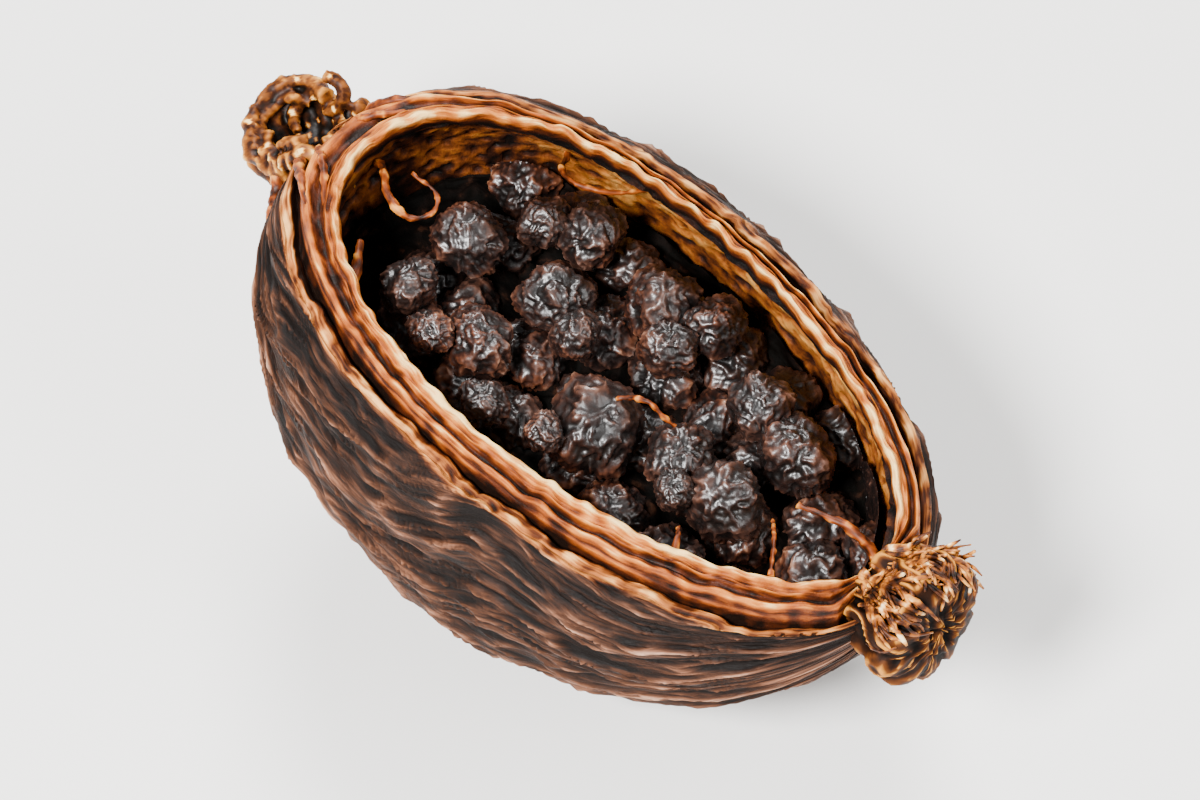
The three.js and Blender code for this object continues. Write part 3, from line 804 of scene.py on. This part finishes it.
def addSeed(bm, number, size, centre, shut=False):
    # a shrivelled seed: ridges wander over it from end to end, and a dent or two
    # shut: it is kept inside the lining
    relief = bm.verts.layers.float.get("relief") or bm.verts.layers.float.new("relief")
    made = bmesh.ops.create_icosphere(bm, subdivisions=seeds["detail"], radius=1.0)["verts"]
    roll = Matrix.Rotation(6.3 * chance(number + 5), 3, "X")
    turn = Matrix.Rotation(6.3 * chance(number + 9), 3, "Z") @ roll
    seed = Vector((number * 1.37, number * 0.71, number * 2.3))
    for vert in made:
        out = vert.co.normalized()
        lump = noise.noise(out * 1.25 + seed)
        bend = Vector((noise.noise(out * 2.0 + seed), noise.noise(out * 2.0 - seed), 0)) * 0.9
        lines = Vector((out.x * 3.4, out.y * 3.4, out.z * 1.5)) + bend + seed
        crease = clamp(1 - 2.5 * abs(noise.noise(lines)))
        small = clamp(1 - 2.8 * abs(noise.noise(lines * 2.3)))
        fine = noise.noise(out * 11 + seed)
        height = 0.22 * lump + seeds["wrinkle"] * (crease ** 1.5 - 0.35) + 0.05 * (small - 0.4) + 0.012 * fine
        point = out * (0.5 * size * (0.97 + height))
        place = turn @ Vector((point.x * 1.1, point.y, point.z * 0.93)) + centre
        vert.co = (keepInside(place, seeds["roomEnds"], seeds["roomInset"]) if shut else place) * mm
        # relief paints the seed paler on its ridges and bumps and darker between them: painted sheen and
        # painted shade
        vert[relief] = clamp(0.08 + 0.42 * crease + 0.2 * small + 0.2 * fine + 0.3 * lump)


for k, (x, y, main, sides) in enumerate(seeds["clumps"]):
    bm = bmesh.new()
    members = [(main, x, y, 0)]
    for n, (size, degrees) in enumerate(sides):
        reach = 0.42 * (main + size)
        angle = math.radians(degrees)
        members.append((size, x + reach * math.cos(angle), y + reach * math.sin(angle), n + 1))
    for size, sx, sy, n in members:
        top = edgeHeight(sx) - seeds["drop"] - 0.5 * chance(k * 7 + n)
        addSeed(bm, k * 10 + n, size, Vector((sx, sy, top - size / 2)))
    clumpMesh = meshFrom(bm, "seedClumpMesh" + str(k + 1))
    keepPiece("seedClump" + str(k + 1), clumpMesh, seedCoat, ["seed_clump_" + str(k + 1)])

for name, rows in (("seedBedNear", range(-2, 1)), ("seedBedFar", range(1, 3))):
    bm = bmesh.new()
    for row in rows:
        for column in range(-3, 5):
            number = 200 + row * 20 + column
            x = seeds["bedPitch"] * (column + 0.5 * (row & 1) + 0.3 * (chance(number) - 0.5))
            x += seeds["bedShift"]
            y = seeds["bedPitch"] * (row + 0.3 * (chance(number + 3) - 0.5))
            z = edgeHeight(x) - seeds["bedDrop"] - 0.8 * chance(number + 7) - seeds["bedSize"] / 2
            addSeed(bm, number, seeds["bedSize"], Vector((x, y, z)), True)
    bedMesh = meshFrom(bm, name + "Mesh")
    keepPiece(name, bedMesh, seedCoat, ["seed_mass"])
    print("seeds made", len(bedMesh.polygons))

driedPulpAndShade, tree, shader = newMaterial("driedPulpAndShade")
# Dried pulp between the seeds: dull and crumbly, with paler crumbs of tissue; its near black is partly its
# own dark brown and partly painted shade between the seeds
spot = addNode(tree, "TexCoord").outputs["Object"]
crumbs = addNode(tree, "TexNoise", {"Scale": 1300.0, "Detail": 4.0}, {"Vector": spot})  # 0.8 mm
pulpAndShadeColour = setRamp(
    addNode(tree, "ValToRGB", links={"Fac": crumbs.outputs["Fac"]}),
    [(0.45, "#030201"), (0.6, "#0c0604"), (0.72, "#2e1a10")],
)
tree.links.new(pulpAndShadeColour.outputs[0], shader.inputs["Base Color"])
bump = addNode(tree, "Bump", {"Strength": 0.9, "Distance": 0.0002}, {"Height": crumbs.outputs["Fac"]})
tree.links.new(bump.outputs[0], shader.inputs["Normal"])
shader.inputs["Roughness"].default_value = 0.8
shader.inputs["Specular IOR Level"].default_value = 0.05

bm = bmesh.new()
bmesh.ops.create_uvsphere(bm, u_segments=180, v_segments=120, radius=1.0)
for vert in bm.verts:
    atEnd = seeds["roomEnds"] if vert.co.x < 0 else seeds["pulpAtStalk"]
    x = (pod["bodyHalf"] - atEnd) * clamp(vert.co.x, -0.999, 0.999)
    closing = math.sqrt(1 - clamp(abs(vert.co.x), 0, 0.999) ** pod["endPower"])
    r = closing * (baseRadius(x) - seeds["roomInset"])
    turn = math.atan2(vert.co.y, -vert.co.z)
    y = r * math.sin(turn)
    rough = noiseAt(x * 0.5, y * 0.5, 1.0) + 0.8 * noiseAt(x * 1.2, y * 1.2, 3.0)
    rough += 0.7 * abs(noiseAt(x * 2.2, y * 2.2, 6.0))
    z = min(axisHeight(x) - r * math.cos(turn), edgeHeight(x) - seeds["pulpDrop"] + 0.6 * rough)
    if z < axisHeight(x):
        widest = math.sqrt(max(0, r * r - (z - axisHeight(x)) ** 2))
        y = clamp(y, -widest, widest)
    vert.co = Vector((x, y, z)) * mm
bmesh.ops.remove_doubles(bm, verts=bm.verts, dist=1e-6)
pulpMesh = meshFrom(bm, "pulpMesh")
keepPiece("driedPulpMass", pulpMesh, driedPulpAndShade, ["seed_mass"])


# Calyx crown and stalk knob
ends = {
    "crownTilt": 60,  # degrees up
    "cupFlutes": 9,
    "cupFluteDepth": 0.07,  # share of its radius
    "knobTilt": 10,  # degrees up
    "knobWidest": 2.7,  # mm of radius
    "knobFlutes": 11,
    "knobFibres": 150,
    "voxel": 0.11,  # mm
}


def endPlace(side, tilt):
    # from a frame with Z out of the pod to the neck on that side
    move = Matrix.Translation(Vector((side * pod["bodyHalf"], 0, pod["endHeight"])) * mm)
    return move @ Matrix.Rotation(side * (math.pi / 2 - math.radians(tilt)), 4, "Y")


def spunMesh(name, profile, steps, flutes, depth):
    # spins a profile of (radius, height) in mm round Z, then presses flutes into it
    bm = bmesh.new()
    chain = [bm.verts.new((r * mm, 0, z * mm)) for r, z in profile]
    for a, b in zip(chain, chain[1:]):
        bm.edges.new((a, b))
    whole = bm.verts[:] + bm.edges[:]
    bmesh.ops.spin(
        bm, geom=whole, cent=(0, 0, 0), axis=(0, 0, 1), angle=2 * math.pi, steps=steps, use_merge=True
    )
    bmesh.ops.remove_doubles(bm, verts=bm.verts, dist=1e-7)
    bmesh.ops.recalc_face_normals(bm, faces=bm.faces)
    for vert in bm.verts:
        swell = 1 + depth * math.cos(flutes * math.atan2(vert.co.y, vert.co.x))
        vert.co.x *= swell
        vert.co.y *= swell
    return meshFrom(bm, name)


def pleatAndShadeCrown(mesh):
    # fine pleats run out along the crown's sides, and deep in its pit it is darker, a painted shade
    for vert, tone in zip(mesh.vertices, mesh.attributes["relief"].data):
        x, y, z = vert.co / mm
        out = max(math.hypot(x, y), 0.01)
        side = ease(1.5, 2.1, out)
        pleat = clamp(1 - 3.2 * abs(noiseAt(3.4 * x / out, 3.4 * y / out, 0.4 * z)))
        # deep: painted shade deep in the crown's pit
        deep = ease(2.2, 1.1, out) * ease(2.9, 1.6, z)
        tone.value = (0.32 + 0.22 * (tone.value - 0.5) + 0.4 * side * (pleat - 0.3)) * (1 - 0.95 * deep)
        vert.co += Vector((x, y, 0)) / out * (0.18 * side * (pleat - 0.5) * mm)


# The cup's section: (radius, height) in mm, from its root over its rim into the pit
cupSection = [
    (0, -0.8), (1.7, -0.8), (1.95, 0.2), (2.0, 1.2), (2.15, 1.9), (2.0, 2.35), (1.65, 2.2), (1.35, 1.3),
    (0.9, 0.8), (0, 0.7),
]
crownCup = spunMesh("crownCup", cupSection, 54, ends["cupFlutes"], ends["cupFluteDepth"])
for vert in crownCup.vertices:
    vert.co.z -= 0.3 * vert.co.x * ease(0.5, 2.3, vert.co.z / mm)  # the rim is higher on its outer side
# Cords of the withered flower, in mm from the crown's root: across it towards the opening, across it,
# and out along it, and their radius
crownCords = [
    ([
        (-0.9, -1.9, 2.4), (-1.7, -1.2, 3.1), (-2.0, -0.1, 3.4), (-1.6, 1.1, 3.6), (-0.7, 1.8, 3.4),
        (0.3, 1.7, 2.8),
    ], 0.33),
    ([(-0.6, -1.6, 2.2), (-1.4, -0.9, 2.8), (-1.6, 0.0, 3.0), (-1.2, 0.9, 3.1), (-0.4, 1.3, 2.6)], 0.24),
    ([(0.6, 1.9, 4.0), (1.1, 2.2, 3.5), (1.3, 2.1, 2.9), (1.0, 1.8, 2.4), (0.1, 1.5, 2.2)], 0.3),
    ([(0.4, 1.7, 2.9), (-0.4, 1.8, 2.95), (-1.1, 1.4, 2.8)], 0.42),
    ([(0.2, 2.3, 1.9), (0.8, 2.3, 1.5), (1.6, 2.1, 0.9)], 0.42),
    ([(-1.3, 0.6, 3.2), (-0.8, 1.1, 2.9), (-1.2, 0.7, 2.3), (-0.5, 0.1, 1.9)], 0.24),
    ([(-1.5, -1.1, 3.0), (-1.4, -1.9, 2.4), (-0.9, -2.0, 1.8), (0.3, -1.9, 1.6)], 0.38),
    ([(-0.9, -0.9, 2.6), (-0.5, -1.5, 2.3), (0.2, -1.2, 1.9)], 0.3),
    ([(0.7, -1.9, 1.9), (1.6, -1.3, 2.2), (1.9, -0.5, 1.7)], 0.42),
    ([(0.2, -1.4, 2.4), (0.9, -1.2, 2.7), (1.3, -0.5, 2.4)], 0.26),
    ([(2.1, -0.4, 2.2), (2.2, 0.5, 1.9), (2.3, 1.0, 1.0), (2.4, 0.2, 0.6)], 0.36),
    ([(1.5, 2.3, 2.4), (1.9, 2.2, 1.4), (2.1, 1.7, 0.4)], 0.4),
    ([(-2.0, 0.6, 2.0), (-1.5, 1.9, 2.2), (-0.3, 2.3, 1.8)], 0.4),
    ([(-2.1, -0.8, 1.4), (-2.3, 0.3, 2.2), (-1.9, 1.2, 1.4)], 0.4),
    ([(-1.4, -1.6, 0.2), (-2.0, -1.6, 1.2), (-1.9, -1.3, 2.1)], 0.34),
]


# The knob's section: (radius, height) in mm, from inside the pod's neck to its own end
knobSection = [
    (0, -0.6), (2.2, -0.6), (2.28, -0.2), (2.3, 0.2), (2.36, 0.5), (2.5, 0.8), (2.64, 1.15), (2.74, 1.5),
    (2.74, 1.85), (2.6, 2.2), (2.35, 2.45), (2.0, 2.62), (1.5, 2.7), (1.0, 2.68), (0.5, 2.6), (0, 2.55),
]


def knobSkin(angle, share, lift):
    # point in mm over the knob's skin, from its neck at 0 to its end at 1
    place = 1 + clamp(share, 0, 0.999) * (len(knobSection) - 2)
    k = int(place)
    r = blend(knobSection[k][0], knobSection[k + 1][0], place - k)
    z = blend(knobSection[k][1], knobSection[k + 1][1], place - k)
    point = Vector((r * math.cos(angle), r * math.sin(angle), z))
    return point + (point - Vector((0, 0, 0.9))).normalized() * lift


def creaseKnob(mesh):
    # folds run from the pod over the knob to its end, and leave their relief on it; that relief paints the
    # raised parts paler and the folds darker, a painted highlight and painted shade
    attribute = mesh.attributes.new("relief", "FLOAT", "POINT")
    for vert in mesh.vertices:
        x, y, z = vert.co / mm
        angle = math.atan2(y, x)
        wander = 0.5 * noiseAt(math.cos(angle) * 2, math.sin(angle) * 2, z * 0.8)
        fold = math.cos(0.5 * (ends["knobFlutes"] * (angle + 0.25 * wander) + wander)) ** 2
        small = clamp(1 - 3 * abs(noiseAt(x * 1.5, y * 1.5, z * 0.7)))
        side = ease(0.8, 2.3, math.hypot(x, y))
        lump = 0.5 + 0.8 * noiseAt(x * 1.3, y * 1.3, 5.0)
        rise = blend(lump, 1 - fold ** 1.5, side)
        swell = side * (0.45 * rise + 0.22 * small - 0.2)
        vert.co.x *= 1 + swell / ends["knobWidest"]
        vert.co.y *= 1 + swell / ends["knobWidest"]
        vert.co.z += (0.7 * (lump - 0.5) + 0.3 * small - 0.1) * (1 - side) * mm * (z > 1.6)
        attribute.data[vert.index].value = clamp(0.05 + 0.4 * rise + 0.4 * small)


crownStrands = []
for points, radius in crownCords:
    first = 7 * len(crownStrands)
    thick = [radius * (0.85 + 0.3 * chance(first + k)) for k in range(len(points))]
    crownStrands.append([(*point, fat) for point, fat in zip(points, thick)])
crownMesh = fuse("crownMesh", [crownCup, strandMesh("crownStrands", crownStrands)], ends["voxel"], 1)
roughen(crownMesh, 0.12, 0.85, 7.0)
pleatAndShadeCrown(crownMesh)
crownMesh.transform(endPlace(-1, ends["crownTilt"]))

knobMesh = subdivided(spunMesh("knobMesh", knobSection, 220, 0, 0), "knobMesh")
creaseKnob(knobMesh)
knobMesh.transform(endPlace(1, ends["knobTilt"]))

# Torn fibres of the stalk: they run over the upper side of the knob towards its end, and their tips lift
fibreStrands = []
for k in range(ends["knobFibres"]):
    angle = math.pi - 0.25 + 1.15 * (2 * chance(k + 91) - 1) * (1 + 0.6 * (k % 6 == 0))
    share = -0.1 + 0.62 * chance(k + 151)
    length = 0.16 + 0.2 * chance(k + 101)
    drift = 0.9 * (chance(k + 111) - 0.5)
    thick = 0.055 + 0.06 * chance(k + 141)
    rise = 0.15 + 0.6 * chance(k + 131) ** 2
    points = [knobSkin(angle + drift * t, share + length * t, 0.12 + rise * t * t) for t in (0, 0.35, 0.7, 1)]
    curl = Vector((chance(k + 121) - 0.5, chance(k + 161) - 0.5, chance(k + 171) - 0.5)) * 0.7
    points[2] += 0.3 * curl
    points[3] += curl
    fibreStrands.append([(*point, thick * fat) for point, fat in zip(points, (0.8, 1.3, 1.1, 0.5))])
fibreMesh = strandMesh("fibreMesh", fibreStrands, 2)
fibreMesh.transform(endPlace(1, ends["knobTilt"]))
roughen(fibreMesh, 0.03, 0.5, 3.0)

witheredCalyx, tree, shader = newMaterial("witheredCalyx")
# Withered flower: papery golden tan, paler on its edges, a painted highlight, and brown in its folds and dark
# in its pit, a painted shade
calyxStops = [(0.05, "#0a0401"), (0.28, "#351706"), (0.5, "#7a4315"), (0.76, "#c4822f"), (0.98, "#fbd48c")]
colourByRelief(tree, shader, calyxStops, 5.0)
shader.inputs["Roughness"].default_value = 0.5
shader.inputs["Specular IOR Level"].default_value = 0.15
keepPiece("calyxCrown", crownMesh, witheredCalyx, ["husk"])

stalkScar, tree, shader = newMaterial("driedStalkScar")
# Folded skin where the stalk broke off: rind brown, warmer and paler on the folds' edges, a painted
# highlight, and darker in the folds, a painted shade
colourByRelief(tree, shader, [(0.22, "#080301"), (0.5, "#241005"), (0.76, "#5c300f"), (1.0, "#c4812f")], 5.0)
shader.inputs["Roughness"].default_value = 0.6
shader.inputs["Specular IOR Level"].default_value = 0.08
keepPiece("stalkKnob", knobMesh, stalkScar, ["husk"])

tornFibre, tree, shader = newMaterial("tornStalkFibre")
# Torn plant fibre: orange tan, brown in its hollows, cream on its ridges
fibreStops = [(0.12, "#120602"), (0.4, "#4a2208"), (0.6, "#9a5519"), (0.78, "#d8923e"), (0.95, "#ffe2ae")]
colourByRelief(tree, shader, fibreStops)
shader.inputs["Roughness"].default_value = 0.5
shader.inputs["Specular IOR Level"].default_value = 0.25
keepPiece("stalkFibres", fibreMesh, tornFibre, ["husk"])
print("ends made", len(crownMesh.polygons), len(knobMesh.polygons), len(fibreMesh.polygons))


# Floor, light and camera
studio = {
    "floor": "#f4f2ef",
    "floorHalf": 0.8,  # m
    "azimuth": 42.3,  # of the camera, in degrees
    "elevation": 56.0,
    "distance": 0.302,  # m
    "lens": 210,
    "nearClip": 0.01,  # m
    "middle": (0.0, 0.0, 0.0122),  # m, where the camera looks
    "lampMiddle": (0, 0, 0.012),
    "lampDistance": 0.5,  # m
    "lamps": {  # azimuth and elevation in degrees, size in m, power
        "keyLight": (5, 52, 0.13, 7.6),
        "fillLight": (110, 40, 0.3, 1.6),
        "backLight": (225, 48, 0.18, 3.5),
    },
    "skyPower": 0.3,
}
bm = bmesh.new()
bmesh.ops.create_grid(bm, x_segments=1, y_segments=1, size=studio["floorHalf"])
floor = bpy.data.objects.new("paleFloor", meshFrom(bm, "paleFloor"))
bpy.context.scene.collection.objects.link(floor)
floorPaint, tree, shader = newMaterial("palePaper")
# Seamless studio paper: even and matt
shader.inputs["Base Color"].default_value = hexColour(studio["floor"])
shader.inputs["Roughness"].default_value = 0.8
floor.data.materials.append(floorPaint)


def aim(thing, target):
    thing.rotation_euler = (Vector(target) - thing.location).to_track_quat("-Z", "Y").to_euler()


def softbox(name, place, size, power):
    light = bpy.data.lights.new(name, "AREA")
    light.shape = "DISK"
    light.size = size
    light.energy = power
    lamp = bpy.data.objects.new(name, light)
    bpy.context.scene.collection.objects.link(lamp)
    lamp.location = place
    aim(lamp, studio["lampMiddle"])


def around(azimuth, elevation, distance):
    # from the pod's near side, azimuth turns towards the stalk end
    a, e = math.radians(azimuth), math.radians(elevation)
    return Vector((math.sin(a) * math.cos(e), -math.cos(a) * math.cos(e), math.sin(e))) * distance


for name, (azimuth, elevation, size, power) in studio["lamps"].items():
    softbox(name, around(azimuth, elevation, studio["lampDistance"]), size, power)
world = bpy.data.worlds.new("studioWorld")
world.use_nodes = True
world.node_tree.nodes["Background"].inputs[0].default_value = (1, 1, 1, 1)
world.node_tree.nodes["Background"].inputs[1].default_value = studio["skyPower"]
bpy.context.scene.world = world

camera = bpy.data.objects.new("camera", bpy.data.cameras.new("camera"))
camera.data.lens = studio["lens"]
camera.data.clip_start = studio["nearClip"]
bpy.context.scene.collection.objects.link(camera)
middle = Vector(studio["middle"])
camera.location = middle + around(studio["azimuth"], studio["elevation"], studio["distance"])
aim(camera, middle)
bpy.context.scene.camera = camera
